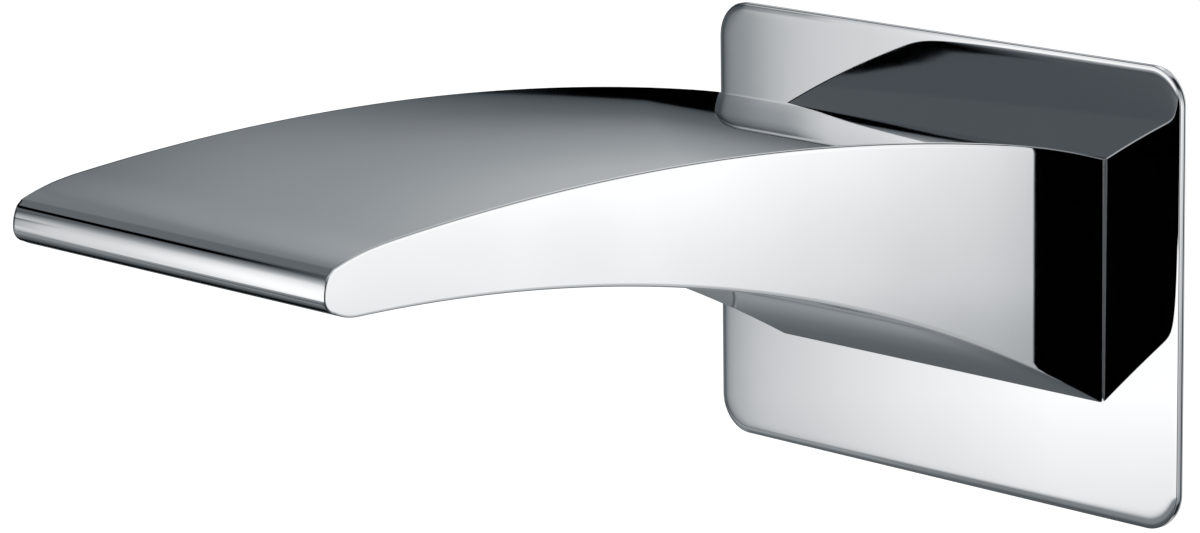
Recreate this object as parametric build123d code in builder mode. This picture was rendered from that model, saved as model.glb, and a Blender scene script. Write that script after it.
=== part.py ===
"""Waterfall wall bath spout: a wide arched chrome spout on a rectangular wall plate.

Millimetres. X runs across the spout, Z is up, and the wall is the plane y = 0. The spout
reaches from the wall towards -Y. The origin is on the axis of the inlet thread, at the wall.
Distances named below are measured from the wall, so a piece at distance d lies at y = -d.
"""

import os
from math import hypot, sqrt

from build123d import *

os.makedirs("parts", exist_ok=True)

# Spout, outside
reach = 180.8  # wall to the tip of the nose
spout_width = 80.0
root_top = 19.75  # top edge at the plate, above the inlet axis
root_bottom = -24.0  # lower edge at the plate
crown_start = 28.0  # long top arc, nearer end: distance from the wall and height
crown_start_height = 25.45
crown_end_height = 29.4  # its further end, where the top starts to roll down
crown_bow = 5.07  # its rise above the chord between the two
rundown_length = 12.8  # rolled-down part of the top, behind the tip
belly_length = 169.5  # long underside arc, from the root
belly_end_height = 18.5
belly_bow = 11.26
shoulder_setback = 2.0  # upper corner of the nose, behind the tip
shoulder_height = 26.75
shoulder_radius = 1.5
crease_setback = 0.95  # corner below the shoulder, where the nose's front begins
crease_height = 25.8
crease_radius = 0.8
tip_height = 22.2  # foremost line of the nose
chin_setback = 1.9  # where the nose's rounding meets the underside, behind the tip
chin_height = 19.72
edge_radius = 0.3  # long edges between the top, the sides and the underside

# Spout, inside
wall = 3.2
pocket_width = 72.0  # pocket in the spout's root that takes the manifold
pocket_corner_radius = 3.0
throat_side_land = 9.0  # ledge that the manifold screws into, at each side
throat_top_land = 3.5
throat_length = 5.5
screw_pad_width = 6.8  # solid metal beside the outlet, inside each side wall
screw_pad_lead = 3.75  # length of these pads behind the flange

# Wall plate
plate_width = 114.4
plate_height = 82.6
plate_thickness = 4.0
plate_edge_thickness = 2.0  # the rim, which stands clear of the wall
plate_drop = 3.85  # plate centre below the inlet axis
plate_corner_radius = 7.0
plate_rim_radius = 0.9  # rounding of the front rim
plate_web = 1.5  # metal left in front of the back recess
plate_foot_inset = 3.0  # outline to the foot, which touches the wall
plate_foot_width = 2.5
wall_gasket_width = 10.0

# Manifold and inlet, G1/2 thread drawn as a plain bore at its minor diameter
manifold_thickness = 8.0
manifold_seal_thickness = 1.0
rear_boss_diameter = 25.0
front_boss_diameter = 24.0
front_boss_length = 7.5
inlet_bore_radius = 9.32
inlet_thread_length = 11.0
seat_groove_radius = 9.8  # undercut below the thread, where the washer sits
seat_groove_slack = 0.1  # room left above the washer
waterway_radius = 7.0
seat_gasket_thickness = 0.5
seat_gasket_inset = 0.5
inlet_washer_thickness = 2.0
inlet_washer_bore_radius = 6.2

# Jet diffuser and strainer
diffuser_flange_thickness = 1.0
diffuser_wall = 1.3
diffuser_end_distance = 31.0
diffuser_end_thickness = 1.5
diffuser_slot_width = 3.0
diffuser_slot_length = 7.5
diffuser_slot_cut = 4.0  # radial length of the cut, half of it inside the sleeve's outline
diffuser_slot_count = 6
strainer_sheet = 0.4
strainer_cup_depth = 6.0
strainer_hole_radius = 0.45
strainer_hole_pitch = 1.5
strainer_row_count = 5

# Outlet
outlet_width = 58.0
outlet_length = 11.0
outlet_setback = 9.7  # tip of the nose to the front edge of the slot
flange_land = 2.5  # flange beyond the slot, in front and behind
flange_side_land = 7.5  # flange beyond the slot, at each side, where the screws go
flange_thickness = 1.5
flange_recess = 0.1  # flange above the lowest metal round it
flange_corner_radius = 2.0
outlet_seal_thickness = 0.5
insert_wall = 1.0
insert_rise = 1.0  # insert above the floor of the waterway
fin_thickness = 0.8
fin_count = 13
screen_thickness = 0.4
screen_hole_radius = 0.8
screen_hole_pitch = 2.4
screen_rows = 3

# Screws, threads drawn as plain shanks at their major diameter
m4_radius = 2.0
m4_head_radius = 3.5
manifold_head_height = 2.6
manifold_screw_length = 10.0
manifold_screw_x = 31.5
manifold_screw_z = 11.0
counterbore_depth = 3.0
m4_socket = 2.5  # across flats
m4_socket_depth = 1.1
plate_head_height = 1.6
plate_screw_length = 8.0
plate_screw_x = 24.0
lock_washer_thickness = 0.5
lock_washer_radius = 4.0
outlet_screw_radius = 1.0
outlet_screw_length = 6.0
outlet_screw_head_radius = 1.9
outlet_screw_head_height = 1.1
outlet_screw_head_angle = 45.0  # countersink, from the screw's axis
outlet_screw_socket = 1.2
outlet_screw_socket_depth = 0.6

# Clearances
slip_fit = 0.15  # each side, between pieces that slide together
thread_gap = 0.05  # each side, between a shank and its tapped hole
hole_gap = 0.25  # each side, between a shank and a plain hole
boss_gap = 0.5  # each side, round the rear boss
overcut = 5.0  # how far a cut or a blank runs past the metal

# Distances from the wall
root = plate_thickness + seat_gasket_thickness
crown_end = reach - rundown_length
belly_end = root + belly_length
pocket_depth = manifold_thickness + manifold_seal_thickness
pocket_floor = root + pocket_depth
hollow_start = pocket_floor + throat_length
outlet_front = reach - outlet_setback
outlet_back = outlet_front - outlet_length
outlet_middle = outlet_back + outlet_length / 2
pad_start = outlet_back - flange_land - screw_pad_lead
hollow_end = outlet_front + flange_land / 2


def bowed(start, end, bow):
    """Centre and radius of the arc through start and end that stands bow above its chord."""
    run, rise = end[0] - start[0], end[1] - start[1]
    chord = hypot(run, rise)
    radius = (chord**2 / 4 + bow**2) / (2 * bow)
    sink = (radius - bow) / chord
    return ((start[0] + end[0]) / 2 - sink * rise, (start[1] + end[1]) / 2 + sink * run, radius)


def height(arc, distance, inset=0.0):
    """Height of an arc, or of one a wall's thickness off it, at a distance from the wall."""
    centre_y, centre_z, radius = arc
    return centre_z + sqrt((radius + inset) ** 2 - (-distance - centre_y) ** 2)


top_arc = bowed((-crown_start, crown_start_height), (-crown_end, crown_end_height), crown_bow)
underside_arc = bowed((-root, root_bottom), (-belly_end, belly_end_height), belly_bow)
plate_foot = plate_thickness - plate_edge_thickness
foot_width = plate_width - 2 * plate_foot_inset
foot_height = plate_height - 2 * plate_foot_inset
foot_corner_radius = plate_corner_radius - plate_foot_inset
recess_width = foot_width - 2 * plate_foot_width
recess_height = foot_height - 2 * plate_foot_width
recess_corner_radius = foot_corner_radius - plate_foot_width

pocket_half_height = min(root_top, -height(underside_arc, pocket_floor)) - wall
throat_width = pocket_width - 2 * throat_side_land
throat_height = 2 * (pocket_half_height - throat_top_land)
flange_bottom = height(underside_arc, outlet_front) + flange_recess
flange_top = flange_bottom + flange_thickness
seal_top = flange_top + outlet_seal_thickness
waterway_floor = height(underside_arc, outlet_middle, wall)
insert_top = waterway_floor + insert_rise
outlet_screw_x = outlet_width / 2 + flange_side_land / 2 + slip_fit
# The washer, the strainer's rim and the diffuser's flange are stacked on a step in the inlet
washer_start = inlet_thread_length + seat_groove_slack
washer_face = washer_start + inlet_washer_thickness
strainer_face = washer_face + strainer_sheet
shoulder = strainer_face + diffuser_flange_thickness


def station(distance):
    """Upright plane that faces away from the wall, at a distance from it."""
    return Plane.XZ.offset(distance)


def arc_run(arc, start, end, inset=0.0):
    """Stretch of an arc between two distances from the wall."""
    places = (start, (start + end) / 2, end)
    return ThreePointArc(*((-place, height(arc, place, inset)) for place in places))


def arc_curve(arc, start, end):
    """The same kind of stretch as one smooth curve, drawn towards the wall."""
    spans = 6
    places = [start + (end - start) * i / spans for i in range(spans + 1)]
    points = [(-place, height(arc, place)) for place in places]
    tangents = [(z - arc[1], arc[0] - y) for y, z in (points[0], points[-1])]
    return Spline(*points, tangents=tangents)


def hollow_profile(start, end):
    """Side view of the hollow between two distances, one wall inside both arcs."""
    with BuildLine() as outline:
        over = arc_run(top_arc, start, end, -wall)
        under = arc_run(underside_arc, end, start, wall)
        Line(over @ 1, under @ 0)
        Line(under @ 1, over @ 0)
    make_face(outline.edges())


def flange_outline(gap):
    """Outline of the outlet flange's seat, smaller by a gap at each side."""
    with Locations((0, -outlet_middle)):
        RectangleRounded(
            outlet_width + 2 * flange_side_land - 2 * gap,
            outlet_length + 2 * flange_land - 2 * gap,
            flange_corner_radius,
        )


def manifold_screw_places():
    return GridLocations(2 * manifold_screw_x, 2 * manifold_screw_z, 2, 2)


def plate_screw_places():
    return GridLocations(2 * plate_screw_x, 0, 2, 1)


def outlet_screw_places():
    return Locations((-outlet_screw_x, -outlet_middle), (outlet_screw_x, -outlet_middle))


def finish(piece, name):
    """Labels a finished piece and writes it."""
    piece.part.label = name
    export_step(piece.part, f"parts/{name}.step")


# Spout body: a cast brass shell, open at the root and at the outlet slot
with BuildPart() as spout_body:
    with BuildSketch(Plane.YZ) as side_view:
        shoulder_point = (shoulder_setback - reach, shoulder_height)
        crease_point = (crease_setback - reach, crease_height)
        tip = (-reach, tip_height)
        chin = (chin_setback - reach, chin_height)
        with BuildLine():
            crown = arc_run(top_arc, crown_start, crown_end)
            rise = TangentArc(crown @ 0, (-root, root_top), tangent=crown % 0 * -1)
            lead = rise % 1
            blank_top = Line(rise @ 1, rise @ 1 + lead * (overcut / lead.X))
            TangentArc(crown @ 1, shoulder_point, tangent=crown % 1)
            Line(shoulder_point, crease_point)
            TangentArc(tip, crease_point, tangent=(0, 1))
            TangentArc(tip, chin, tangent=(0, -1))
            belly = arc_curve(underside_arc, belly_end, root - overcut)
            TangentArc(belly @ 0, chin, tangent=belly % 0 * -1)
            Line(belly @ 1, blank_top @ 1)
        make_face()
        for place, radius in ((shoulder_point, shoulder_radius), (crease_point, crease_radius)):
            fillet(side_view.vertices().sort_by_distance(Vector(*place))[0], radius)
    # One half, rounded along its side, is trimmed at the root and mirrored
    extrude(amount=spout_width / 2)
    outer_side = spout_body.faces().sort_by(Axis.X)[-1]
    fillet(outer_side.edges() - spout_body.edges().filter_by(Axis.Z), edge_radius)
    split(bisect_by=station(root))
    mirror(about=Plane.YZ)
    # The hollow is wide behind the outlet and narrows between the two screw pads
    with BuildSketch(Plane.YZ):
        hollow_profile(hollow_start, pad_start)
    extrude(amount=spout_width / 2 - wall, both=True, mode=Mode.SUBTRACT)
    with BuildSketch(Plane.YZ):
        hollow_profile(pad_start, hollow_end)
    extrude(amount=spout_width / 2 - wall - screw_pad_width, both=True, mode=Mode.SUBTRACT)
    # Pocket and throat for the manifold
    with BuildSketch(station(root)):
        RectangleRounded(pocket_width, 2 * pocket_half_height, pocket_corner_radius)
    extrude(amount=pocket_depth, mode=Mode.SUBTRACT)
    with BuildSketch(station(pocket_floor)):
        RectangleRounded(throat_width, throat_height, pocket_corner_radius)
    extrude(amount=throat_length, mode=Mode.SUBTRACT)
    with BuildSketch(station(pocket_floor)):
        with manifold_screw_places():
            Circle(m4_radius + thread_gap)
    extrude(amount=throat_length - thread_gap, mode=Mode.SUBTRACT)
    # Seat and slot of the outlet, and its two tapped holes
    with BuildSketch(Plane.XY.offset(seal_top)):
        flange_outline(0)
    extrude(amount=-(flange_thickness + outlet_seal_thickness + overcut), mode=Mode.SUBTRACT)
    with BuildSketch(Plane.XY.offset(seal_top)):
        with Locations((0, -outlet_middle)):
            Rectangle(outlet_width, outlet_length)
    extrude(amount=wall, mode=Mode.SUBTRACT)
    with BuildSketch(Plane.XY.offset(seal_top)):
        with outlet_screw_places():
            Circle(outlet_screw_radius + thread_gap)
    extrude(amount=outlet_screw_length - flange_thickness, mode=Mode.SUBTRACT)
finish(spout_body, "spout_body")

# Wall plate: a polished plate on a narrower foot, with a shallow recess behind
with BuildPart() as wall_plate:
    with BuildSketch(station(plate_foot)):
        with Locations((0, -plate_drop)):
            RectangleRounded(plate_width, plate_height, plate_corner_radius)
    extrude(amount=plate_edge_thickness)
    fillet(wall_plate.faces().sort_by(Axis.Y)[0].edges(), plate_rim_radius)
    with BuildSketch(Plane.XZ):
        with Locations((0, -plate_drop)):
            RectangleRounded(foot_width, foot_height, foot_corner_radius)
    extrude(amount=plate_foot)
    with BuildSketch(Plane.XZ):
        with Locations((0, -plate_drop)):
            RectangleRounded(recess_width, recess_height, recess_corner_radius)
    extrude(amount=plate_thickness - plate_web, mode=Mode.SUBTRACT)
    with BuildSketch(Plane.XZ):
        Circle(rear_boss_diameter / 2 + boss_gap)
        with plate_screw_places():
            Circle(m4_radius + hole_gap)
    extrude(amount=plate_thickness, mode=Mode.SUBTRACT)
finish(wall_plate, "wall_plate")

# Wall gasket: a foam frame that fills the outer part of the recess
with BuildPart() as wall_gasket:
    with BuildSketch(Plane.XZ):
        with Locations((0, -plate_drop)):
            outer_width = recess_width - 2 * slip_fit
            outer_height = recess_height - 2 * slip_fit
            RectangleRounded(outer_width, outer_height, recess_corner_radius)
            RectangleRounded(
                outer_width - 2 * wall_gasket_width,
                outer_height - 2 * wall_gasket_width,
                recess_corner_radius,
                mode=Mode.SUBTRACT,
            )
    extrude(amount=plate_thickness - plate_web)
finish(wall_gasket, "wall_gasket")

# Seat gasket: the thin sheet that shows as a joint line between the spout and the plate
with BuildPart() as seat_gasket:
    with BuildSketch(station(plate_thickness)):
        with Locations((0, (root_top + root_bottom) / 2)):
            Rectangle(
                spout_width - 2 * seat_gasket_inset,
                root_top - root_bottom - 2 * seat_gasket_inset,
            )
        Circle(rear_boss_diameter / 2 + boss_gap, mode=Mode.SUBTRACT)
        with plate_screw_places():
            Circle(m4_radius + hole_gap, mode=Mode.SUBTRACT)
    extrude(amount=seat_gasket_thickness)
finish(seat_gasket, "seat_gasket")

# Rear manifold: closes the spout's root and carries the inlet thread
with BuildPart() as rear_manifold:
    with BuildSketch(station(root)):
        RectangleRounded(
            pocket_width - 2 * slip_fit,
            2 * (pocket_half_height - slip_fit),
            pocket_corner_radius,
        )
    extrude(amount=manifold_thickness)
    with BuildSketch(Plane.XZ):
        Circle(rear_boss_diameter / 2)
    extrude(amount=root)
    with BuildSketch(station(root + manifold_thickness)):
        Circle(front_boss_diameter / 2)
    extrude(amount=front_boss_length)
    with BuildSketch(Plane.XZ):
        Circle(inlet_bore_radius)
    extrude(amount=inlet_thread_length, mode=Mode.SUBTRACT)
    with BuildSketch(station(inlet_thread_length)):
        Circle(seat_groove_radius)
    extrude(amount=shoulder - inlet_thread_length, mode=Mode.SUBTRACT)
    with BuildSketch(station(shoulder)):
        Circle(waterway_radius)
    extrude(amount=root + manifold_thickness + front_boss_length - shoulder, mode=Mode.SUBTRACT)
    with BuildSketch(station(root)):
        with manifold_screw_places():
            Circle(m4_radius + hole_gap)
    extrude(amount=manifold_thickness, mode=Mode.SUBTRACT)
    with BuildSketch(station(root)):
        with manifold_screw_places():
            Circle(m4_head_radius + hole_gap)
    extrude(amount=counterbore_depth, mode=Mode.SUBTRACT)
    with BuildSketch(station(root)):
        with plate_screw_places():
            Circle(m4_radius + thread_gap)
    extrude(amount=plate_screw_length, mode=Mode.SUBTRACT)
finish(rear_manifold, "rear_manifold")

# Manifold seal: a sheet gasket between the manifold and the pocket's floor
with BuildPart() as manifold_seal:
    with BuildSketch(station(root + manifold_thickness)):
        RectangleRounded(
            pocket_width - 2 * slip_fit,
            2 * (pocket_half_height - slip_fit),
            pocket_corner_radius,
        )
        RectangleRounded(throat_width, throat_height, pocket_corner_radius, mode=Mode.SUBTRACT)
        with manifold_screw_places():
            Circle(m4_radius + hole_gap, mode=Mode.SUBTRACT)
    extrude(amount=manifold_seal_thickness)
finish(manifold_seal, "manifold_seal")

# Manifold screws: four, with their heads down in the counterbores
with BuildPart() as manifold_screws:
    seat = root + counterbore_depth
    with BuildSketch(station(seat)):
        with manifold_screw_places():
            Circle(m4_head_radius)
    extrude(amount=-manifold_head_height)
    with BuildSketch(station(seat)):
        with manifold_screw_places():
            Circle(m4_radius)
    extrude(amount=manifold_screw_length)
    with BuildSketch(station(seat - manifold_head_height)):
        with manifold_screw_places():
            RegularPolygon(m4_socket / 2, 6, major_radius=False)
    extrude(amount=m4_socket_depth, mode=Mode.SUBTRACT)
finish(manifold_screws, "manifold_screws")

# Plate screws: two, from the recess through the plate into the manifold
with BuildPart() as plate_screws:
    seat = plate_thickness - plate_web - lock_washer_thickness
    with BuildSketch(station(seat)):
        with plate_screw_places():
            Circle(m4_head_radius)
    extrude(amount=-plate_head_height)
    with BuildSketch(station(seat)):
        with plate_screw_places():
            Circle(m4_radius)
    extrude(amount=plate_screw_length)
    with BuildSketch(station(seat - plate_head_height)):
        with plate_screw_places():
            RegularPolygon(m4_socket / 2, 6, major_radius=False)
    extrude(amount=m4_socket_depth, mode=Mode.SUBTRACT)
finish(plate_screws, "plate_screws")

# Lock washers under the plate screws' heads
with BuildPart() as lock_washers:
    with BuildSketch(station(plate_thickness - plate_web - lock_washer_thickness)):
        with plate_screw_places():
            Circle(lock_washer_radius)
            Circle(m4_radius + hole_gap, mode=Mode.SUBTRACT)
    extrude(amount=lock_washer_thickness)
finish(lock_washers, "lock_washers")

# Jet diffuser: a cap with side slots that turns the inlet's jet sideways
with BuildPart() as jet_diffuser:
    sleeve_radius = waterway_radius - slip_fit
    with BuildSketch(station(strainer_face)):
        Circle(inlet_bore_radius - slip_fit)
    extrude(amount=diffuser_flange_thickness)
    with BuildSketch(station(shoulder)):
        Circle(sleeve_radius)
    extrude(amount=diffuser_end_distance - shoulder)
    with BuildSketch(station(strainer_face)):
        Circle(sleeve_radius - diffuser_wall)
    extrude(
        amount=diffuser_end_distance - diffuser_end_thickness - strainer_face,
        mode=Mode.SUBTRACT,
    )
    slot_start = diffuser_end_distance - diffuser_end_thickness - diffuser_slot_length
    with BuildSketch(station(slot_start)):
        with PolarLocations(sleeve_radius, diffuser_slot_count):
            Rectangle(diffuser_slot_cut, diffuser_slot_width)
    extrude(amount=diffuser_slot_length, mode=Mode.SUBTRACT)
finish(jet_diffuser, "jet_diffuser")

# Inlet strainer: a thin perforated cup inside the diffuser
with BuildPart() as inlet_strainer:
    cup_radius = waterway_radius - slip_fit - diffuser_wall - slip_fit
    with BuildSketch(station(washer_face)):
        Circle(inlet_bore_radius - slip_fit)
    extrude(amount=strainer_sheet)
    with BuildSketch(station(washer_face)):
        Circle(cup_radius)
    extrude(amount=strainer_cup_depth)
    with BuildSketch(station(washer_face)):
        Circle(cup_radius - strainer_sheet)
    extrude(amount=strainer_cup_depth - strainer_sheet, mode=Mode.SUBTRACT)
    with BuildSketch(station(washer_face)):
        with HexLocations(strainer_hole_pitch / 2, strainer_row_count, strainer_row_count):
            Circle(strainer_hole_radius)
    extrude(amount=strainer_cup_depth, mode=Mode.SUBTRACT)
finish(inlet_strainer, "inlet_strainer")

# Inlet washer: seals on the end of the supply nipple
with BuildPart() as inlet_washer:
    with BuildSketch(station(washer_start)):
        Circle(inlet_bore_radius - slip_fit)
        Circle(inlet_washer_bore_radius, mode=Mode.SUBTRACT)
    extrude(amount=inlet_washer_thickness)
finish(inlet_washer, "inlet_washer")

# Outlet seal: a flat gasket between the outlet insert and its seat
with BuildPart() as outlet_seal:
    with BuildSketch(Plane.XY.offset(flange_top)):
        flange_outline(slip_fit)
        with Locations((0, -outlet_middle)):
            Rectangle(outlet_width, outlet_length, mode=Mode.SUBTRACT)
        with outlet_screw_places():
            Circle(outlet_screw_radius + hole_gap, mode=Mode.SUBTRACT)
    extrude(amount=outlet_seal_thickness)
finish(outlet_seal, "outlet_seal")

# Outlet insert: a moulded comb whose fins straighten the sheet of water
with BuildPart() as outlet_insert:
    frame_width = outlet_width - 2 * slip_fit
    frame_length = outlet_length - 2 * slip_fit
    with BuildSketch(Plane.XY.offset(flange_bottom)):
        flange_outline(slip_fit)
    extrude(amount=flange_thickness)
    with BuildSketch(Plane.XY.offset(flange_bottom)):
        with Locations((0, -outlet_middle)):
            Rectangle(frame_width, frame_length)
    extrude(amount=insert_top - flange_bottom)
    channel_width = (frame_width - 2 * insert_wall - fin_count * fin_thickness) / (fin_count + 1)
    with BuildSketch(Plane.XY.offset(flange_bottom)):
        with Locations((0, -outlet_middle)):
            with GridLocations(channel_width + fin_thickness, 0, fin_count + 1, 1):
                Rectangle(channel_width, frame_length - 2 * insert_wall)
    extrude(amount=insert_top - flange_bottom, mode=Mode.SUBTRACT)
    # Rebate in the top of the frame that holds the screen
    with BuildSketch(Plane.XY.offset(insert_top)):
        with Locations((0, -outlet_middle)):
            Rectangle(frame_width - insert_wall, frame_length - insert_wall)
    extrude(amount=-screen_thickness, mode=Mode.SUBTRACT)
    with BuildSketch(Plane.XY.offset(flange_bottom)):
        with outlet_screw_places():
            Circle(outlet_screw_radius + hole_gap)
    extrude(amount=flange_thickness, mode=Mode.SUBTRACT)
    with BuildSketch(Plane.XY.offset(flange_bottom)):
        with outlet_screw_places():
            Circle(outlet_screw_head_radius + hole_gap)
    extrude(
        amount=outlet_screw_head_height, taper=outlet_screw_head_angle, mode=Mode.SUBTRACT
    )
finish(outlet_insert, "outlet_insert")

# Flow screen: a perforated strip on top of the fins
with BuildPart() as flow_screen:
    with BuildSketch(Plane.XY.offset(insert_top - screen_thickness)):
        with Locations((0, -outlet_middle)):
            screen_width = outlet_width - 2 * slip_fit - insert_wall - 2 * slip_fit
            screen_length = outlet_length - 2 * slip_fit - insert_wall - 2 * slip_fit
            Rectangle(screen_width, screen_length)
            columns = int((screen_width - screen_hole_pitch) / screen_hole_pitch)
            with GridLocations(screen_hole_pitch, screen_hole_pitch, columns, screen_rows):
                Circle(screen_hole_radius, mode=Mode.SUBTRACT)
    extrude(amount=screen_thickness)
finish(flow_screen, "flow_screen")

# Outlet screws: two countersunk screws that hold the insert
with BuildPart() as outlet_screws:
    with BuildSketch(Plane.XY.offset(flange_bottom)):
        with outlet_screw_places():
            Circle(outlet_screw_head_radius)
    extrude(amount=outlet_screw_head_height - thread_gap, taper=outlet_screw_head_angle)
    with BuildSketch(Plane.XY.offset(flange_bottom)):
        with outlet_screw_places():
            Circle(outlet_screw_radius)
    extrude(amount=outlet_screw_length)
    with BuildSketch(Plane.XY.offset(flange_bottom)):
        with outlet_screw_places():
            RegularPolygon(outlet_screw_socket / 2, 6, major_radius=False)
    extrude(amount=outlet_screw_socket_depth, mode=Mode.SUBTRACT)
finish(outlet_screws, "outlet_screws")
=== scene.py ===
"""Wall-mounted waterfall bath spout: polished chrome body and plate, with its inlet and outlet parts, in a light tent."""
import math

import bmesh
import bpy
import numpy as np
from mathutils import Matrix, Vector


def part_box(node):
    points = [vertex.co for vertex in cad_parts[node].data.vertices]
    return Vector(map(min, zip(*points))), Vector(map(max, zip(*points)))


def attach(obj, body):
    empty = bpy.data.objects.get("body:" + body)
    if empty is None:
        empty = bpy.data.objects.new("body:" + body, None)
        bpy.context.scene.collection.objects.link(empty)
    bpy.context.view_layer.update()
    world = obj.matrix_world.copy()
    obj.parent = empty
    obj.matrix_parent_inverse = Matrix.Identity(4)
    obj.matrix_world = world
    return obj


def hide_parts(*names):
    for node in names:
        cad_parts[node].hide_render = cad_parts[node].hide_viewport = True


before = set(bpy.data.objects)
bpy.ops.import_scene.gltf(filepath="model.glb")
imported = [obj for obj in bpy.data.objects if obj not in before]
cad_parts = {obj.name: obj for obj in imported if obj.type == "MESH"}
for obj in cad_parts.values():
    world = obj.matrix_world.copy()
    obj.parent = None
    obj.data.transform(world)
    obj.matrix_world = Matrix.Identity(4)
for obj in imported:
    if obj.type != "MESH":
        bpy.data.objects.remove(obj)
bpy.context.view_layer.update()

# The camera of the photograph, in metres and degrees.
CAMERA_PLACE = (0.640670, -0.671972, 0.191069)
CAMERA_TURN, CAMERA_DIP, CAMERA_ROLL = 47.6196, 11.9624, -0.7609
SENSOR_WIDTH = 36.0
FOCAL_LENGTH = 156.179

FLOOR_HEIGHT = -0.16
FLOOR_SIZE = 12.0
TENT_RADIUS = 1.0

MILLIMETRE = 0.001

# The spout's own lines, in millimetres: distance from the wall, then height, as in the CAD.
REACH = 180.8
HALF_WIDTH = 40.0
EDGE_RADIUS = 0.3
ROOT_TOP, ROOT_BOTTOM = (4.5, 19.75), (4.5, -24.0)
CROWN_START, CROWN_END, CROWN_BOW = (28.0, 25.45), (168.0, 29.4), 5.07
BELLY_END, BELLY_BOW = (174.0, 18.5), 11.26
SHOULDER, CREASE, TIP, CHIN = (178.8, 26.75), (179.85, 25.8), (REACH, 22.2), (178.9, 19.72)
SHOULDER_EASE, CREASE_EASE = 0.22, 0.13
SEAT_MIDDLE, SEAT_HALF_WIDTH, SEAT_HALF_LENGTH, SEAT_RADIUS = 165.6, 36.5, 8.0, 2.0
SEAT_MARGIN = 1.0
SLOT_HALF_WIDTH, SLOT_HALF_LENGTH = 29.0, 5.5
SLOT_CEILING = 26.0
SLOT_RADIUS = 1.0
SEAT_ROWS = 15
PLATE_WIDTH, PLATE_HEIGHT, PLATE_CORNER, PLATE_MIDDLE, PLATE_FACE = 114.4, 82.6, 7.0, -3.85, 4.0
PLATE_HOLE_RADIUS = 13.0
RIM_RADIUS, RIM_SLOPE, ROLL_LENGTH = 0.2, 0.25, 0.5
CAVITY_RADIUS = 3.0
# Linings of the hollow root, from the inside out: distance from the wall, half width, lowest and highest
CAVITIES = ((33.0, 36.8, -7.0, 20.0), (19.0, 36.8, -13.0, 19.0), (19.0, 27.0, -12.5, 12.5), (13.5, 27.0, -12.5, 12.5),
            (13.5, 36.0, -16.03, 16.03), (4.5, 36.0, -16.03, 16.03))


def node_material(name):
    """A new material with nodes: its tree, its shader and a way to link."""
    material = bpy.data.materials.new(name)
    material.use_nodes = True
    tree = material.node_tree
    shader = tree.nodes["Principled BSDF"]
    return material, tree, shader


def add(tree, kind, **settings):
    """A node of that kind, with its properties set."""
    node = tree.nodes.new(kind)
    for key, value in settings.items():
        setattr(node, key, value)
    return node


def feed(tree, socket, value):
    """Links a socket to a socket, or sets a plain number on it."""
    if isinstance(value, bpy.types.NodeSocket):
        tree.links.new(value, socket)
    else:
        socket.default_value = value


def calc(tree, operation, *values):
    """One Math node of the given operation."""
    node = add(tree, "ShaderNodeMath", operation=operation)
    for socket, value in zip(node.inputs, values):
        feed(tree, socket, value)
    return node.outputs[0]


def rise(tree, value, start, end):
    """0 before start, 1 after end, with a smooth step between; start above end makes it fall."""
    node = add(tree, "ShaderNodeMapRange", interpolation_type="SMOOTHSTEP")
    feed(tree, node.inputs["Value"], value)
    low, high = min(start, end), max(start, end)
    feed(tree, node.inputs["From Min"], low)
    feed(tree, node.inputs["From Max"], high)
    feed(tree, node.inputs["To Min"], 0.0 if start < end else 1.0)
    feed(tree, node.inputs["To Max"], 1.0 if start < end else 0.0)
    return node.outputs["Result"]


def graded(tree, value, stops):
    """Brightness that runs straight from stop to stop; each stop is (value, brightness)."""
    low, high = stops[0][0], stops[-1][0]
    spread = add(tree, "ShaderNodeMapRange")
    feed(tree, spread.inputs["Value"], value)
    feed(tree, spread.inputs["From Min"], low)
    feed(tree, spread.inputs["From Max"], high)
    ramp = add(tree, "ShaderNodeValToRGB")
    elements = ramp.color_ramp.elements
    while len(elements) < len(stops):
        elements.new(0.5)
    for element, (place, brightness) in zip(elements, stops):
        element.position = (place - low) / (high - low)
        element.color = (brightness, brightness, brightness, 1.0)
    tree.links.new(spread.outputs["Result"], ramp.inputs["Fac"])
    return ramp.outputs["Color"]


def blend(tree, share, under, over):
    """under where share is 0, over where it is 1."""
    node = add(tree, "ShaderNodeMix", data_type="FLOAT", clamp_factor=True)
    feed(tree, node.inputs[0], share)
    feed(tree, node.inputs[2], under)
    feed(tree, node.inputs[3], over)
    return node.outputs[0]


# ---------------------------------------------------------------------------------------------------------------
# Camera, floor, lamps


def make_camera():
    """Looks the way the photograph does: turned, dipped, then rolled about its own line of sight."""
    turn, dip, roll = (math.radians(a) for a in (CAMERA_TURN, CAMERA_DIP, CAMERA_ROLL))
    ahead = Vector((-math.sin(turn) * math.cos(dip), math.cos(turn) * math.cos(dip), -math.sin(dip)))
    right = ahead.cross(Vector((0.0, 0.0, 1.0))).normalized()
    up = right.cross(ahead)
    rolled_right = math.cos(roll) * right + math.sin(roll) * up
    rolled_up = math.cos(roll) * up - math.sin(roll) * right
    data = bpy.data.cameras.new("camera")
    data.sensor_width = SENSOR_WIDTH
    data.lens = FOCAL_LENGTH
    camera = bpy.data.objects.new("camera", data)
    bpy.context.scene.collection.objects.link(camera)
    place = Matrix((rolled_right, rolled_up, -ahead)).transposed().to_4x4()
    place.translation = Vector(CAMERA_PLACE)
    camera.matrix_world = place
    bpy.context.scene.camera = camera


def quads(rows, columns, closed=False, first=0):
    """Corner numbers of the faces between neighbouring points of a grid; closed joins its last column to its first."""
    index = first + np.arange(rows * columns).reshape(rows, columns)
    if closed:
        index = np.hstack([index, index[:, :1]])
    return np.stack([index[:-1, :-1], index[:-1, 1:], index[1:, 1:], index[1:, :-1]], axis=-1)


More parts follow.
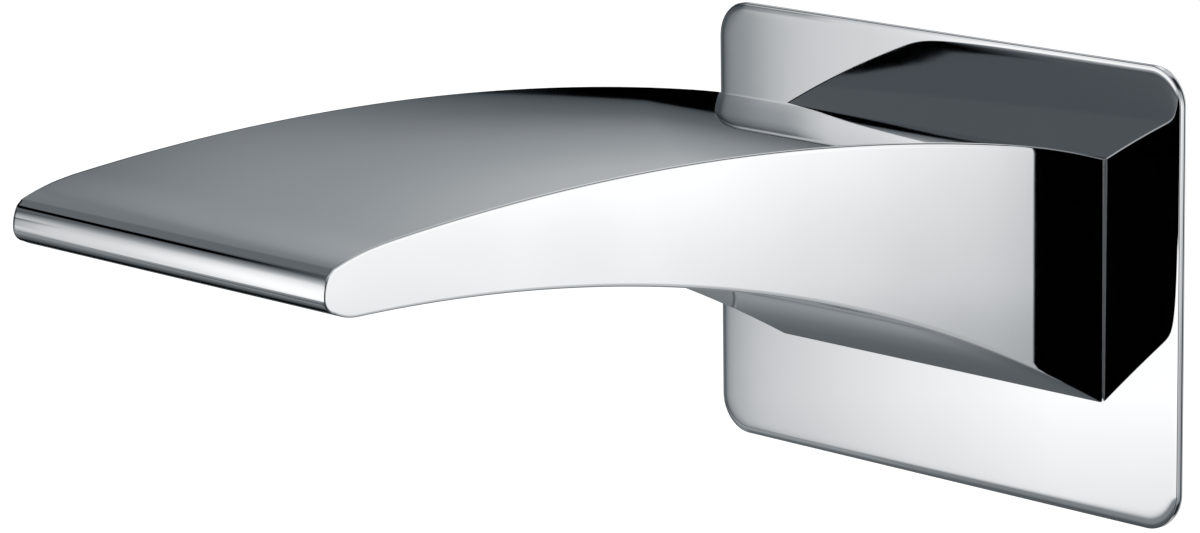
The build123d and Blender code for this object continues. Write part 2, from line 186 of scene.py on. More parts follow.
def piece_of(name, points, faces, material):
    """A smooth mesh object of those points and faces, its touching points joined into one."""
    mesh = bpy.data.meshes.new(name)
    mesh.from_pydata(points.reshape(-1, 3).tolist(), [], faces.reshape(-1, 4).tolist())
    mesh.materials.append(material)
    mesh.polygons.foreach_set("use_smooth", np.ones(len(mesh.polygons), bool))
    joined = bmesh.new()
    joined.from_mesh(mesh)
    bmesh.ops.remove_doubles(joined, verts=joined.verts, dist=0.001 * MILLIMETRE)
    joined.to_mesh(mesh)
    joined.free()
    piece = bpy.data.objects.new(name, mesh)
    bpy.context.scene.collection.objects.link(piece)
    return piece


def surface(name, points, material, closed=False):
    """One grid of points as an object."""
    return piece_of(name, points, quads(*points.shape[:2], closed), material)


def turned(direction, angle):
    """A plane direction turned to the left by an angle."""
    c, s = math.cos(angle), math.sin(angle)
    return np.array([c * direction[0] - s * direction[1], s * direction[0] + c * direction[1]])


def arc_onward(start, heading, end, count=160):
    """The arc that leaves start along heading and passes through end.

    Its radius is the chord squared over twice the chord's part across the heading; a point at the angle a is
    start + radius * (sin a * heading + (1 - cos a) * across).
    """
    start, end = np.asarray(start, float), np.asarray(end, float)
    heading = np.asarray(heading, float) / np.hypot(*heading)
    across = turned(heading, math.pi / 2)
    chord = end - start
    radius = chord @ chord / (2 * (across @ chord))
    angle = np.linspace(0.0, 2 * math.atan2(across @ chord, heading @ chord), count)
    return start + radius * (np.outer(np.sin(angle), heading) + np.outer(1 - np.cos(angle), across))


def bowed(start, end, bow):
    """The arc that stands bow above the chord from start to end, and its headings at both ends."""
    chord = np.subtract(end, start)
    lift = 2 * math.atan(2 * bow / np.hypot(*chord))
    ahead = chord / np.hypot(*chord)
    return arc_onward(start, turned(ahead, lift), end), turned(ahead, lift), turned(ahead, -lift)


def lengths_along(path):
    return np.concatenate([[0.0], np.cumsum(np.hypot(*np.diff(path, axis=0).T))])


def eased(path, lengths, ease):
    """Points of a path at those lengths along it, each the mean of the path over ease to either side of it."""
    run = lengths_along(path)
    ease = np.minimum(ease, np.minimum(lengths, run[-1] - lengths))
    spots = lengths[:, None] + ease[:, None] * np.linspace(-1.0, 1.0, 21)
    return np.stack([np.interp(spots, run, path[:, k]).mean(axis=1) for k in (0, 1)], axis=-1)


def spread(*stretches):
    """Rising values made of stretches, each (start, end, count), with the shared ends once."""
    runs = [np.linspace(start, end, count, endpoint=False) for start, end, count in stretches]
    return np.concatenate([*runs, [stretches[-1][1]]])


def inward(line, side):
    """Unit normals of a line into the metal: side is -1 for the top line and 1 for the underside."""
    along = np.gradient(line, axis=0)
    along[-1] = (0.0, side)
    along /= np.hypot(along[:, 0], along[:, 1])[:, None]
    return side * np.stack([-along[:, 1], along[:, 0]], axis=-1)


def spout_lines():
    """Top and underside lines from the root to the tip, row by row, with the same number of rows."""
    crown, crown_heading, down_heading = bowed(CROWN_START, CROWN_END, CROWN_BOW)
    belly, _, belly_heading = bowed(ROOT_BOTTOM, BELLY_END, BELLY_BOW)
    first = arc_onward(CROWN_START, -crown_heading, ROOT_TOP)[::-1]
    roll = arc_onward(CROWN_END, down_heading, SHOULDER)
    front = arc_onward(TIP, (0.0, 1.0), CREASE)[::-1]
    top = np.concatenate([first, crown[1:], roll[1:], front])
    top_run = lengths_along(top)
    shoulder_at = top_run[len(first) + len(crown) + len(roll) - 3]
    crease_at = top_run[-len(front)]
    under = np.concatenate([belly, arc_onward(BELLY_END, belly_heading, CHIN)[1:],
                            arc_onward(TIP, (0.0, -1.0), CHIN)[::-1]])
    under_run = lengths_along(under)
    chin_at = under_run[-160]
    # Rows of the seat for the outlet, closer together at its corners
    half = np.array([3.0, 6.0, 6.7, 7.3, 7.9, 8.4, SEAT_HALF_LENGTH + SEAT_MARGIN])
    seat = SEAT_MIDDLE + np.concatenate([-half[::-1], [0.0], half])
    shared = np.concatenate([spread((ROOT_TOP[0], 8.0, 6), (8.0, seat[0], 70))[:-1], seat])
    start_top, start_under = (np.interp(shared[-1], path[: -170, 0], run[: -170])
                              for path, run in ((top, top_run), (under, under_run)))
    top_at = np.concatenate([np.interp(shared[:-1], top[: -170, 0], top_run[: -170]),
                             spread((start_top, shoulder_at - 0.45, 8), (shoulder_at - 0.45, shoulder_at + 0.45, 14),
                                    (shoulder_at + 0.45, crease_at - 0.25, 3), (crease_at - 0.25, crease_at + 0.25, 14),
                                    (crease_at + 0.25, top_run[-1], 26))])
    under_at = np.concatenate([np.interp(shared[:-1], under[: -170, 0], under_run[: -170]),
                               spread((start_under, chin_at - 0.4, 16), (chin_at - 0.4, chin_at + 0.4, 16),
                                      (chin_at + 0.4, under_run[-1], 33))])
    ease = np.where(top_at < (shoulder_at + crease_at) / 2, SHOULDER_EASE, CREASE_EASE)
    return eased(top, top_at, ease), eased(under, under_at, np.full_like(under_at, CREASE_EASE)), len(shared)

def ring_of_spout():
    """The columns round the spout: place across it, depth under the skin, and share of the way from top to underside.

    They run over the top from right to left, down the left side, back along the underside and up the right side,
    with a quarter circle of the edge radius at each long edge: across = half width - r + r sin a, depth = r - r cos a.
    """
    inner = HALF_WIDTH - EDGE_RADIUS
    flat_top = np.array([0.0, 12.0, 24.0, 33.0, 37.0, 38.6, 39.2, inner])
    flat_under = np.array([0.0, 5.0, 10.0, 15.0, 20.0, 25.0, 29.5, 33.5, 34.5, 35.1, 35.7, 36.3, 36.9,
                           SEAT_HALF_WIDTH + SEAT_MARGIN, 38.6, 39.2, inner])
    turn = np.linspace(0.0, math.pi / 2, 7)[1:]
    edge = np.stack([inner + EDGE_RADIUS * np.sin(turn), EDGE_RADIUS - EDGE_RADIUS * np.cos(turn)])
    down = np.array([0.02, 0.08, 0.3, 0.5, 0.7, 0.92, 0.98])
    side = np.stack([np.full(7, HALF_WIDTH), np.full(7, EDGE_RADIUS)])

    def stretch(across, depth, share):
        return np.stack([across, depth, np.broadcast_to(share, np.shape(across))])

    top_half = stretch(flat_top, np.zeros_like(flat_top), 0.0)
    under_half = stretch(flat_under, np.zeros_like(flat_under), 1.0)
    right = np.hstack([top_half, stretch(*edge, 0.0), stretch(*side, down), stretch(*edge[:, ::-1], 1.0),
                       under_half[:, ::-1]])
    left = right * np.array([[-1.0], [1.0], [1.0]])
    # from the middle of the top over the left side to the middle of the underside, then back up on the right
    return np.hstack([left[:, :-1], right[:, :0:-1]])


def clipped_outline(x, z, half_width, half_height, radius):
    """The nearest places on a rounded rectangle: the point clipped to its inner rectangle, plus the radius onward."""
    inner = np.stack([np.clip(x, radius - half_width, half_width - radius),
                      np.clip(z, radius - half_height, half_height - radius)])
    away = np.stack([x, z]) - inner
    return inner + radius * away / np.maximum(np.hypot(*away), 1e-9)


def make_spout_body(material):
    """The cast body as one closed skin.

    Its outside is a grid: row by row from the root to the tip, and round the ring of columns. A point is
    (1 - share) * (top + depth * inward) + share * (underside + depth * inward), set at its place across. Rows in front
    of these line the pocket in the root. The seat and the slot of the outlet are a second grid, from the skin's opening
    inwards.
    """
    top, under, shared = spout_lines()
    across, depth, share = ring_of_spout()
    over = top[:, None] + depth[:, None] * inward(top, -1.0)[:, None]
    below = under[:, None] + depth[:, None] * inward(under, 1.0)[:, None]
    skin = (1 - share[:, None]) * over + share[:, None] * below
    outside = np.stack([np.broadcast_to(across, skin.shape[:2]), -skin[..., 0], skin[..., 1]], axis=-1)
    lining = [np.tile((0.0, -CAVITIES[0][0], 0.0), (len(across), 1))]
    for distance, half_width, low, high in CAVITIES:
        middle = (low + high) / 2
        x, z = clipped_outline(across, outside[0, :, 2] - middle, half_width, high - middle, CAVITY_RADIUS)
        lining.append(np.stack([x, np.full_like(x, -distance), z + middle], axis=-1))
    shell = np.concatenate([np.array(lining), outside])

    first_row, last_row = len(lining) + shared - SEAT_ROWS, len(lining) + shared - 1
    on_seat = np.flatnonzero((share == 1.0) & (depth == 0.0) & (np.abs(across) <= SEAT_HALF_WIDTH + SEAT_MARGIN))
    left, right = on_seat[0], on_seat[-1]
    faces = quads(*shell.shape[:2], closed=True)
    open_quads = np.zeros(faces.shape[:2], bool)
    open_quads[first_row:last_row, left:right] = True
    rim = np.concatenate([shell[first_row, left:right], shell[first_row:last_row, right],
                          shell[last_row, right:left:-1], shell[last_row:first_row:-1, left]])
    x, off_middle = clipped_outline(rim[:, 0], -rim[:, 1] - SEAT_MIDDLE, SEAT_HALF_WIDTH, SEAT_HALF_LENGTH, SEAT_RADIUS)
    lip = np.interp(SEAT_MIDDLE + off_middle, under[:shared, 0], under[:shared, 1])
    seat_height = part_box("outlet_seal")[1][2] / MILLIMETRE
    slot_x, slot_off = clipped_outline(rim[:, 0], -rim[:, 1] - SEAT_MIDDLE, SLOT_HALF_WIDTH, SLOT_HALF_LENGTH, SLOT_RADIUS)
    middle_x = np.clip(slot_x, SLOT_HALF_LENGTH - SLOT_HALF_WIDTH, SLOT_HALF_WIDTH - SLOT_HALF_LENGTH)
    steps = ((x, off_middle, lip), (x, off_middle, seat_height), (slot_x, slot_off, seat_height),
             (slot_x, slot_off, SLOT_CEILING), (middle_x, 0.0, SLOT_CEILING))
    seat = np.array([rim] + [np.stack(np.broadcast_arrays(a, -SEAT_MIDDLE - b, c), axis=-1) for a, b, c in steps])
    seat_faces = quads(*seat.shape[:2], closed=True, first=shell[..., 0].size)
    body = piece_of("polished_spout", MILLIMETRE * np.concatenate([shell.reshape(-1, 3), seat.reshape(-1, 3)]),
                    np.concatenate([faces[~open_quads], seat_faces.reshape(-1, 4)]), material)
    body.data.set_sharp_from_angle(angle=math.radians(35.0))
    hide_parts("spout_body")
    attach(body, "root")


def make_wall_plate(material):
    """The polished plate as one closed skin, from the edge of its middle hole over the face, the rim and the back.

    Each row is the plate's rounded outline drawn in by an inset, at a depth from the wall. Near the rim the face rolls
    off: its slope falls off as exp(-inset / roll), and the last of it is a quarter circle of the rim's radius.
    """
    half_width, half_height = PLATE_WIDTH / 2, PLATE_HEIGHT / 2
    straight = spread((0.0, 0.9, 6), (0.9, 1.0, 5))
    turn = np.linspace(0.0, math.pi / 2, 19)[1:-1]
    wide, tall = half_width - PLATE_CORNER, half_height - PLATE_CORNER
    top = np.stack([wide * straight, np.full_like(straight, half_height)])
    corner = np.stack([wide + PLATE_CORNER * np.sin(turn), tall + PLATE_CORNER * np.cos(turn)])
    side = np.stack([np.full_like(straight, half_width), tall * straight[::-1]])
    quarter = np.hstack([top, corner, side])
    half = np.hstack([quarter, (quarter * [[1.0], [-1.0]])[:, -2::-1]])
    outline = np.hstack([half, (half * [[-1.0], [1.0]])[:, -2:0:-1]])
    inner = np.stack([np.clip(outline[0], -wide, wide), np.clip(outline[1], -tall, tall)])
    away = (outline - inner) / np.hypot(*(outline - inner))
    centre = np.array([[0.0], [PLATE_MIDDLE]])

    def drawn_in(inset):
        return inner + (PLATE_CORNER - inset) * away + centre

    roll_insets = np.concatenate([[5.5, 4.2], np.linspace(3.4, RIM_RADIUS, 24)])
    roll_depths = PLATE_FACE - RIM_SLOPE * ROLL_LENGTH * np.exp(-(roll_insets - RIM_RADIUS) / ROLL_LENGTH)
    bend = np.linspace(math.atan(RIM_SLOPE), math.pi / 2, 10)[1:]
    start = roll_depths[-1] - RIM_RADIUS * math.cos(math.atan(RIM_SLOPE))
    rim_insets = RIM_RADIUS * (1 + math.sin(math.atan(RIM_SLOPE)) - np.sin(bend)) - RIM_RADIUS * math.sin(math.atan(RIM_SLOPE))
    rim_depths = start + RIM_RADIUS * np.cos(bend)
    insets = np.concatenate([[6.5], roll_insets, rim_insets, [0.0, 0.0, 0.1, 0.27, 0.5, 3.0, 3.0, 5.5, 5.5]])
    depths = np.concatenate([[PLATE_FACE], roll_depths, rim_depths, [3.0, 2.85, 2.5, 2.05, 2.0, 2.0, 0.0, 0.0, 2.5]])
    hole = PLATE_HOLE_RADIUS * drawn_in(PLATE_CORNER) / np.hypot(*drawn_in(PLATE_CORNER))
    rows = [np.stack([hole[0], np.full_like(hole[0], -PLATE_FACE), hole[1]], axis=-1)]
    for inset, depth in zip(insets, depths):
        x, z = drawn_in(inset)
        rows.append(np.stack([x, np.full_like(x, -depth), z], axis=-1))
    rows.append(rows[0] * [1.0, 0.0, 1.0] + [0.0, -2.5, 0.0])
    rows.append(rows[0])
    skin = np.array(rows)
    plate = surface("polished_plate", MILLIMETRE * skin, material, closed=True)
    plate.data.set_sharp_from_angle(angle=math.radians(35.0))
    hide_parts("wall_plate")
    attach(plate, "root")


def make_floor():
    """A plain pale sheet under the object. It keeps the object's shadow, and the camera sees it near white."""
    material, tree, shader = node_material("pale_floor")
    shader.inputs["Base Color"].default_value = (0.86, 0.86, 0.86, 1.0)
    shader.inputs["Roughness"].default_value = 0.8
    shader.inputs["Specular IOR Level"].default_value = 0.1
    shader.inputs["Emission Color"].default_value = (1.0, 1.0, 1.0, 1.0)
    material.cycles.emission_sampling = "NONE"
    seen = add(tree, "ShaderNodeLightPath")
    shown = calc(tree, "MAXIMUM", seen.outputs["Is Camera Ray"], seen.outputs["Is Transmission Ray"])
    shown = calc(tree, "MAXIMUM", shown, seen.outputs["Is Glossy Ray"])
    tree.links.new(calc(tree, "MULTIPLY", shown, 0.36), shader.inputs["Emission Strength"])
    across = np.linspace(-FLOOR_SIZE / 2, FLOOR_SIZE / 2, 3)
    y, x = np.meshgrid(across, across, indexing="ij")
    floor = surface("floor", np.stack([x, y, np.full_like(x, FLOOR_HEIGHT)], axis=-1), material)
    # The light tent gives the metal its surroundings, floor and backdrop included.
    floor.visible_glossy = False


def lamp(name, place, size, watts):
    """A square soft lamp that points at the middle of the spout."""
    data = bpy.data.lights.new(name, "AREA")
    data.size = size
    data.energy = watts
    holder = bpy.data.objects.new(name, data)
    bpy.context.scene.collection.objects.link(holder)
    aim = Vector((0.0, -0.09, 0.0)) - Vector(place)
    holder.matrix_world = Matrix.Translation(Vector(place)) @ aim.to_track_quat("-Z", "Y").to_matrix().to_4x4()
    holder.visible_glossy = False


def make_lamps():
    """Two large soft lamps; the metal sees the tent in their place."""
    lamp("soft_lamp_left", (-1.1, -1.0, 1.3), 1.2, 16.0)
    lamp("soft_lamp_right", (1.4, 0.3, 1.2), 1.2, 8.0)


def make_world():
    """White where the camera looks past the floor, and a plain even level on the object."""
    world = bpy.data.worlds.new("studio")
    bpy.context.scene.world = world
    world.use_nodes = True
    tree = world.node_tree
    seen = add(tree, "ShaderNodeLightPath")
    past = calc(tree, "MAXIMUM", seen.outputs["Is Camera Ray"], seen.outputs["Is Transmission Ray"])
    past = calc(tree, "MAXIMUM", past, seen.outputs["Is Glossy Ray"])
    tree.links.new(blend(tree, past, 0.62, 1.0), tree.nodes["Background"].inputs["Strength"])
    tree.nodes["Background"].inputs["Color"].default_value = (1.0, 1.0, 1.0, 1.0)


# ---------------------------------------------------------------------------------------------------------------
# The light tent that the polished metal reflects. Compass and height are degrees as seen from the object:
# compass 0 is straight out from the wall, plus is to the spout's right-hand side of the photograph.

CARD_BY_HEIGHT = [(-18.6, 0.28), (-17.4, 0.8), (-15, 1.0), (-4, 1.0), (1, 0.96), (5, 0.88), (9, 0.76), (13, 0.43),
                  (16.8, 0.24), (18.6, 0.18), (19.4, 0.0)]
CARD_BY_COMPASS_HIGH = [(-104, 0.4), (-80, 0.55), (-66, 0.12), (-56, 0.06), (-52, 0.095), (-50.2, 0.14), (-48.8, 0.185), (-48.1, 0.235), (-47.8, 0.30), (-47.4, 0.42),
                        (-46.9, 0.53), (-46.2, 0.60), (-45.2, 0.64), (-43.9, 0.71), (-42.8, 0.84), (-41.4, 1.0), (8, 1.0),
                        (16, 0.0)]
CARD_BY_COMPASS_LOW = [(-104, 0.4), (-80, 0.55), (-66, 0.16), (-56, 0.1), (-52, 0.19), (-50.2, 0.26), (-48.8, 0.33), (-48.2, 0.39), (-47.9, 0.48), (-47.6, 0.57), (-46.1, 0.69), (-44.3, 0.82), (-42.1, 0.94),
                       (-41, 1.0), (8, 1.0), (16, 0.0)]
CEILING_BY_COMPASS = [(-180, 0.95), (-150, 0.8), (-140, 0.42), (-122, 0.36), (-110, 0.28), (-104, 0.185), (-97, 0.166),
                      (-88, 0.158), (-80, 0.138), (-72, 0.124), (-65, 0.126), (-60, 0.105), (-56, 0.088), (-44, 0.086),
                      (-28, 0.2), (0, 0.34), (45, 0.42), (100, 0.6), (115, 0.95), (180, 0.95)]
RIGHT_BY_HEIGHT = [(-40, 0.1), (-20, 0.22), (-5, 0.34), (10, 0.5), (30, 0.6), (60, 0.4)]
CEILING_EDGE = [(-104, 0.2), (-80, 0.3), (-71, 0.335), (-68, 0.343), (-60, 0.318), (-53, 0.279), (-51.5, 0.27),
                (-49.5, 0.252), (-48.5, 0.242), (-46.8, 0.225), (-45.5, 0.223), (-42, 0.222)]
FOLD_BY_COMPASS = [(-48.6, 0.07), (-48, 0.10), (-47.5, 0.14), (-47, 0.21), (-46.6, 0.28), (-45.9, 0.34), (-45, 0.5)]
FOLD_BY_HEIGHT = [(-5, 0.9), (-3, 0.8), (-1, 0.7), (0.5, 0.62), (3, 0.56), (4.2, 0.42), (5.2, 0.2), (7, 0.2)]
BACK_CARD_DEEP = [(0, 0.0), (0.35, 0.055), (1, 0.078), (2.8, 0.118), (5.4, 0.238), (7.4, 0.31), (9.4, 0.40), (11.4, 0.45),
                  (13.4, 0.55), (15.5, 0.60), (20, 0.62)]
BACK_CARD_THIN = [(-4, 0.05), (-1, 0.085), (0, 0.13), (0.8, 0.168), (2.8, 0.22), (4.8, 0.255), (6.8, 0.27), (8.8, 0.295), (10.8, 0.33),
                  (16, 0.36)]
GROUND_BY_COMPASS = [(-180, 0.34), (-140, 0.34), (-122, 0.1), (-112, 0.0), (-97, 0.002), (-92, 0.008), (-87, 0.025), (-82, 0.05), (-77, 0.072), (-70, 0.10),
                     (-64, 0.13), (-59, 0.17), (-56, 0.25), (-54.6, 0.24), (-53.4, 0.11)]
LOW_BY_HEIGHT = [(-60, 0.05), (-40, 0.08), (-31, 0.105), (-28, 0.112), (-26.5, 0.125), (-24.5, 0.165), (-22.5, 0.23),
                 (-20.5, 0.28), (-18, 0.28)]
BACKDROP_BY_COMPASS = [(96, 0.9), (124, 0.89), (126.5, 0.855), (128.5, 0.79), (130.5, 0.75), (132.5, 0.70), (133.6, 0.645),
                       (134.7, 0.55), (138, 0.5), (143, 0.045), (164, 0.045), (172, 0.5), (180, 0.9)]
BACKDROP_BY_HEIGHT = [(-20, 0.5), (-13.4, 0.70), (-12.8, 0.77), (-12, 0.93), (-11, 1.0), (-10.1, 1.1), (-9.2, 1.22), (-8, 1.3), (2, 1.15), (14, 0.72), (32, 0.55)]


def tent_brightness(tree, compass, height, cloud):
    """How bright the tent is in the direction of a compass and a height."""
    # The ground, darker towards the left, with a strip under the card that fades downwards
    low = graded(tree, height, LOW_BY_HEIGHT)
    low = calc(tree, "MULTIPLY", low, calc(tree, "MULTIPLY_ADD", rise(tree, compass, -46.6, -45.4), -0.25, 1.0))
    bright = blend(tree, rise(tree, compass, -55.0, -53.4), graded(tree, compass, GROUND_BY_COMPASS), low)
    # The large card at the front left
    high_part = rise(tree, height, -14.5, -8.5)
    card = blend(tree, high_part, graded(tree, compass, CARD_BY_COMPASS_LOW), graded(tree, compass, CARD_BY_COMPASS_HIGH))
    card = calc(tree, "MULTIPLY", graded(tree, height, CARD_BY_HEIGHT), card)
    fold = calc(tree, "MULTIPLY", graded(tree, compass, FOLD_BY_COMPASS), graded(tree, height, FOLD_BY_HEIGHT))
    in_fold = calc(tree, "MULTIPLY", rise(tree, height, -5.5, -3.0), rise(tree, height, 7.0, 5.5))
    in_fold = calc(tree, "MULTIPLY", in_fold, rise(tree, compass, -44.9, -46.0))
    card = blend(tree, in_fold, card, calc(tree, "MULTIPLY", fold, 1.6))
    card = calc(tree, "MAXIMUM", card, calc(tree, "MULTIPLY", rise(tree, height, 14.0, 16.5), 0.105))
    bright = blend(tree, rise(tree, height, -19.2, -17.6), bright, card)
    # The soft ceiling behind its sloping edge, with a dark gap between that edge and the card
    ceiling = graded(tree, compass, CEILING_BY_COMPASS)
    seam = calc(tree, "MULTIPLY", rise(tree, height, 30.0, 29.3), rise(tree, compass, -60.0, -57.0))
    ceiling = calc(tree, "MULTIPLY", ceiling, calc(tree, "MULTIPLY_ADD", seam, -0.12, 1.0))
    edge = calc(tree, "MULTIPLY", graded(tree, compass, CEILING_EDGE), 100.0)
    over_edge = calc(tree, "SUBTRACT", height, edge)
    bright = blend(tree, rise(tree, height, 18.6, 19.4), bright, calc(tree, "MULTIPLY", rise(tree, compass, -46.2, -43.6), 0.085))
    bright = blend(tree, rise(tree, over_edge, -0.15, 0.25), bright, ceiling)
    # The card at the back left, whose lower edge climbs towards the front
    over = calc(tree, "SUBTRACT", height, calc(tree, "MAXIMUM", calc(tree, "MULTIPLY_ADD", compass, 1.04, 138.9), 3.0))
    back = blend(tree, rise(tree, compass, -129.5, -118.5), graded(tree, over, BACK_CARD_DEEP), graded(tree, over, BACK_CARD_THIN))
    on_back = calc(tree, "MULTIPLY", rise(tree, compass, -142.0, -138.0), rise(tree, compass, -101.5, -109.0))
    on_back = calc(tree, "MULTIPLY", on_back, calc(tree, "MULTIPLY", rise(tree, height, 44.0, 38.0), rise(tree, height, -13.0, -10.0)))
    bright = blend(tree, on_back, bright, back)
    # Behind the camera it is dark
    behind = calc(tree, "MULTIPLY", rise(tree, compass, 16.0, 24.0), rise(tree, height, 24.0, 2.0))
    bright = blend(tree, behind, bright, 0.0)
    # To the right of it, off the photograph, a card that brightens upwards
    on_right = rise(tree, compass, 56.0, 70.0)
    bright = blend(tree, on_right, bright, graded(tree, height, RIGHT_BY_HEIGHT))
    # The pale backdrop behind the wall plane on the right, a little cloudy
    backdrop = calc(tree, "MULTIPLY", graded(tree, compass, BACKDROP_BY_COMPASS),
                    calc(tree, "MULTIPLY", graded(tree, height, [(k, v / 2) for k, v in BACKDROP_BY_HEIGHT]), 2.0))
    backdrop = calc(tree, "MULTIPLY", backdrop, calc(tree, "MULTIPLY_ADD", cloud, 0.36, 0.82))
    at_back = calc(tree, "MAXIMUM", rise(tree, compass, 96.0, 108.0), rise(tree, compass, -150.0, -164.0))
    return blend(tree, calc(tree, "MULTIPLY", at_back, rise(tree, height, -60.0, -50.0)), bright, backdrop)


def make_tent():
    """A ball of cloth around the object with cards on it, that only reflections see."""
    material = bpy.data.materials.new("light_tent")
    material.use_nodes = True
    material.cycles.emission_sampling = "NONE"
    tree = material.node_tree
    tree.nodes.clear()
    place = add(tree, "ShaderNodeTexCoord").outputs["Object"]
    outward = add(tree, "ShaderNodeVectorMath", operation="NORMALIZE")
    tree.links.new(place, outward.inputs[0])
    parts = add(tree, "ShaderNodeSeparateXYZ")
    tree.links.new(outward.outputs[0], parts.inputs[0])
    compass = calc(tree, "DEGREES", calc(tree, "ARCTAN2", parts.outputs["X"], calc(tree, "MULTIPLY", parts.outputs["Y"], -1.0)))
    height = calc(tree, "DEGREES", calc(tree, "ARCSINE", parts.outputs["Z"]))

    cloud = add(tree, "ShaderNodeTexNoise")
    feed(tree, cloud.inputs["Scale"], 9.0)
    feed(tree, cloud.inputs["Detail"], 2.0)
    tree.links.new(place, cloud.inputs["Vector"])
    bright = tent_brightness(tree, compass, height, cloud.outputs["Fac"])

    # Shade is a touch cooler than light.
    tint = add(tree, "ShaderNodeValToRGB")
    tree.links.new(bright, tint.inputs["Fac"])
    elements = tint.color_ramp.elements
    for place_on_ramp, colour in ((0.0, (0.0, 0.0, 0.0)), (0.07, (0.061, 0.071, 0.080)), (0.3, (0.283, 0.302, 0.318)),
                                  (1.0, (1.0, 1.0, 1.0))):
        element = elements[0] if place_on_ramp == 0.0 else elements[-1] if place_on_ramp == 1.0 else elements.new(place_on_ramp)
        element.color = (*colour, 1.0)
    light = add(tree, "ShaderNodeEmission")
    tree.links.new(tint.outputs["Color"], light.inputs["Color"])
    light.inputs["Strength"].default_value = 1.1
    out = add(tree, "ShaderNodeOutputMaterial")
    tree.links.new(light.outputs[0], out.inputs["Surface"])

    polar = np.linspace(0.002, math.pi - 0.002, 65)
    round_about = np.linspace(0.0, 2 * math.pi, 129)[:-1]
    p, a = np.meshgrid(polar, round_about, indexing="ij")
    ball = TENT_RADIUS * np.stack([np.sin(p) * np.cos(a), np.sin(p) * np.sin(a), np.cos(p)], axis=-1)
    tent = surface("light_tent", ball, material, closed=True)
    tent.visible_camera = False
    tent.visible_diffuse = False
    tent.visible_shadow = False
    tent.visible_transmission = False


# ---------------------------------------------------------------------------------------------------------------
# Materials of the object


def noise(tree, scale, detail=3.0, roughness=0.5, stretch=(1.0, 1.0, 1.0)):
    """Cloud noise on Object coordinates, in cycles per metre, drawn out by stretch."""
    place = add(tree, "ShaderNodeTexCoord").outputs["Object"]
    mapping = add(tree, "ShaderNodeMapping")
    mapping.inputs["Scale"].default_value = stretch
    tree.links.new(place, mapping.inputs["Vector"])
    cloud = add(tree, "ShaderNodeTexNoise")
    feed(tree, cloud.inputs["Scale"], scale)
    feed(tree, cloud.inputs["Detail"], detail)
    feed(tree, cloud.inputs["Roughness"], roughness)
    tree.links.new(mapping.outputs["Vector"], cloud.inputs["Vector"])
    return cloud.outputs["Fac"]


def coloured(tree, share, low, high):
    """A colour between low and high."""
    node = add(tree, "ShaderNodeMix", data_type="RGBA", clamp_factor=True)
    feed(tree, node.inputs[0], share)
    node.inputs[6].default_value = (*low, 1.0)
    node.inputs[7].default_value = (*high, 1.0)
    return node.outputs[2]


def ranged(tree, value, low, high):
    """Spreads a 0 to 1 value over low to high."""
    return calc(tree, "MULTIPLY_ADD", value, high - low, low)


def bumped(tree, shader, height, distance, strength):
    """Adds a fine relief of that height in metres."""
    bump = add(tree, "ShaderNodeBump")
    bump.inputs["Distance"].default_value = distance
    bump.inputs["Strength"].default_value = strength
    tree.links.new(height, bump.inputs["Height"])
    tree.links.new(bump.outputs["Normal"], shader.inputs["Normal"])


def polished_chrome(name):
    """Mirror chrome: almost no relief, with the faint haze and clouding that polishing leaves."""
    material, tree, shader = node_material(name)
    shader.inputs["Metallic"].default_value = 1.0
    haze = noise(tree, 38.0, 4.0, 0.6)
    fine = noise(tree, 420.0, 3.0, 0.6)
    tree.links.new(coloured(tree, haze, (0.885, 0.893, 0.903), (0.925, 0.928, 0.934)), shader.inputs["Base Color"])
    tree.links.new(ranged(tree, calc(tree, "MULTIPLY", haze, fine), 0.012, 0.075), shader.inputs["Roughness"])
    bumped(tree, shader, noise(tree, 60.0, 2.0), 0.00002, 0.25)
    return material


def machined_brass():
    material, tree, shader = node_material("machined_brass")
    shader.inputs["Metallic"].default_value = 1.0
    cutter = noise(tree, 900.0, 2.0, 0.5, (1.0, 12.0, 0.15))
    tarnish = noise(tree, 60.0, 4.0)
    tree.links.new(coloured(tree, tarnish, (0.60, 0.43, 0.19), (0.80, 0.63, 0.33)), shader.inputs["Base Color"])
    tree.links.new(ranged(tree, cutter, 0.22, 0.42), shader.inputs["Roughness"])
    bumped(tree, shader, cutter, 0.00003, 0.5)
    return material


def sheet_rubber():
    material, tree, shader = node_material("sheet_rubber")
    grain = noise(tree, 2600.0, 4.0)
    tree.links.new(coloured(tree, noise(tree, 90.0), (0.028, 0.028, 0.030), (0.055, 0.055, 0.058)), shader.inputs["Base Color"])
    tree.links.new(ranged(tree, grain, 0.55, 0.8), shader.inputs["Roughness"])
    bumped(tree, shader, grain, 0.00004, 0.6)
    return material


def fibre_gasket():
    material, tree, shader = node_material("fibre_gasket")
    fibres = noise(tree, 1500.0, 5.0, 0.7, (1.0, 1.0, 4.0))
    tree.links.new(coloured(tree, fibres, (0.34, 0.35, 0.36), (0.47, 0.48, 0.49)), shader.inputs["Base Color"])
    tree.links.new(ranged(tree, fibres, 0.6, 0.85), shader.inputs["Roughness"])
    bumped(tree, shader, fibres, 0.00004, 0.5)
    return material


def cell_foam():
    """Closed-cell foam: small round cells of about a millimetre, with painted shade darkening the hollow middle of each
    cell.
    """
    material, tree, shader = node_material("cell_foam")
    place = add(tree, "ShaderNodeTexCoord").outputs["Object"]
    cells = add(tree, "ShaderNodeTexVoronoi", feature="F1")
    feed(tree, cells.inputs["Scale"], 1100.0)
    tree.links.new(place, cells.inputs["Vector"])
    # Painted shade: the colour is darker in the middle of each cell, where the bump sinks it into a hollow, and lighter
    # on the cell walls.
    tree.links.new(coloured(tree, cells.outputs["Distance"], (0.045, 0.045, 0.048), (0.12, 0.12, 0.125)), shader.inputs["Base Color"])
    tree.links.new(ranged(tree, noise(tree, 400.0), 0.8, 0.97), shader.inputs["Roughness"])
    bumped(tree, shader, cells.outputs["Distance"], 0.0002, 0.7)
    return material


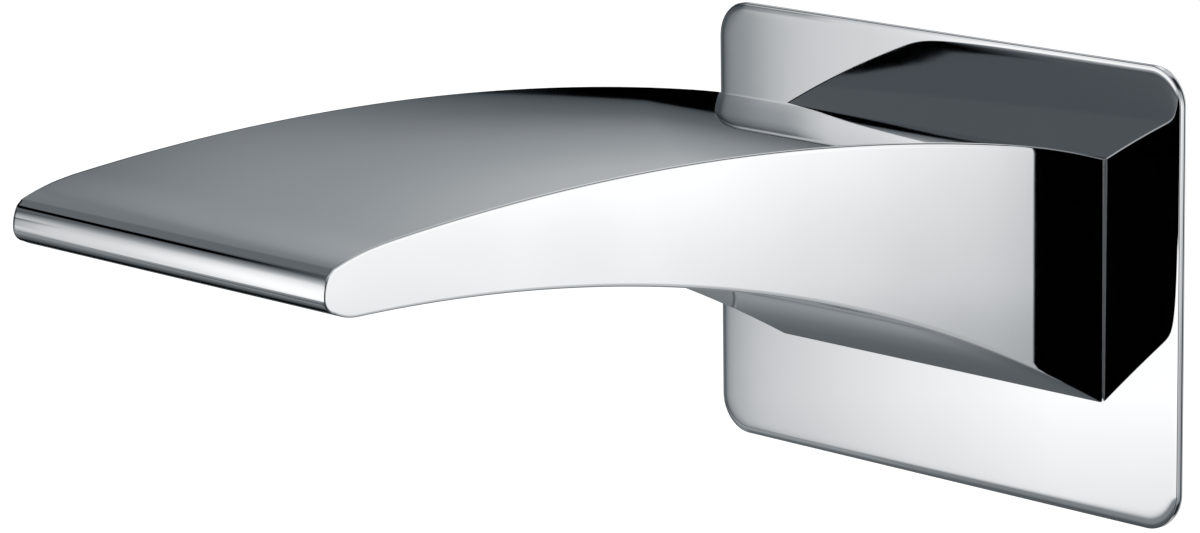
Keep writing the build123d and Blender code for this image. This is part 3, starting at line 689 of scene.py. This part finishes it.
def turned_steel():
    material, tree, shader = node_material("turned_steel")
    shader.inputs["Metallic"].default_value = 1.0
    turning = noise(tree, 1800.0, 2.0, 0.5, (0.1, 6.0, 0.1))
    tree.links.new(coloured(tree, noise(tree, 160.0), (0.54, 0.54, 0.53), (0.68, 0.68, 0.67)), shader.inputs["Base Color"])
    tree.links.new(ranged(tree, turning, 0.2, 0.38), shader.inputs["Roughness"])
    bumped(tree, shader, turning, 0.00002, 0.5)
    return material


def sheet_steel():
    material, tree, shader = node_material("sheet_steel")
    shader.inputs["Metallic"].default_value = 1.0
    rolling = noise(tree, 1400.0, 3.0, 0.6, (0.08, 1.0, 1.0))
    tree.links.new(coloured(tree, rolling, (0.58, 0.58, 0.57), (0.72, 0.72, 0.71)), shader.inputs["Base Color"])
    tree.links.new(ranged(tree, rolling, 0.22, 0.4), shader.inputs["Roughness"])
    bumped(tree, shader, rolling, 0.00001, 0.5)
    return material


def moulded_plastic(name, low, high):
    """Moulded acetal: a waxy sheen over a fine spark-eroded texture."""
    material, tree, shader = node_material(name)
    texture = noise(tree, 1900.0, 3.0)
    tree.links.new(coloured(tree, noise(tree, 70.0), low, high), shader.inputs["Base Color"])
    tree.links.new(ranged(tree, texture, 0.32, 0.5), shader.inputs["Roughness"])
    bumped(tree, shader, texture, 0.00003, 0.5)
    return material


def dress():
    """Gives every CAD node the material of what it is made of."""
    brass, rubber, steel, sheet = machined_brass(), sheet_rubber(), turned_steel(), sheet_steel()
    white = moulded_plastic("white_acetal", (0.80, 0.80, 0.76), (0.88, 0.88, 0.85))
    grey = moulded_plastic("grey_acetal", (0.20, 0.205, 0.21), (0.27, 0.275, 0.28))
    finish = {
        "spout_body": polished_chrome("chrome_body"), "wall_plate": polished_chrome("chrome_plate"),
        "seat_gasket": fibre_gasket(), "wall_gasket": cell_foam(), "rear_manifold": brass,
        "manifold_seal": rubber, "inlet_washer": rubber, "outlet_seal": rubber,
        "manifold_screws": steel, "plate_screws": steel, "lock_washers": steel, "outlet_screws": steel,
        "inlet_strainer": sheet, "flow_screen": sheet, "jet_diffuser": white, "outlet_insert": grey,
    }
    for name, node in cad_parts.items():
        node.data.materials.clear()
        node.data.materials.append(finish[name])
    make_spout_body(finish["spout_body"])
    make_wall_plate(finish["wall_plate"])


bpy.context.scene.view_settings.view_transform = "Standard"
make_camera()
make_world()
make_lamps()
make_floor()
make_tent()
dress()
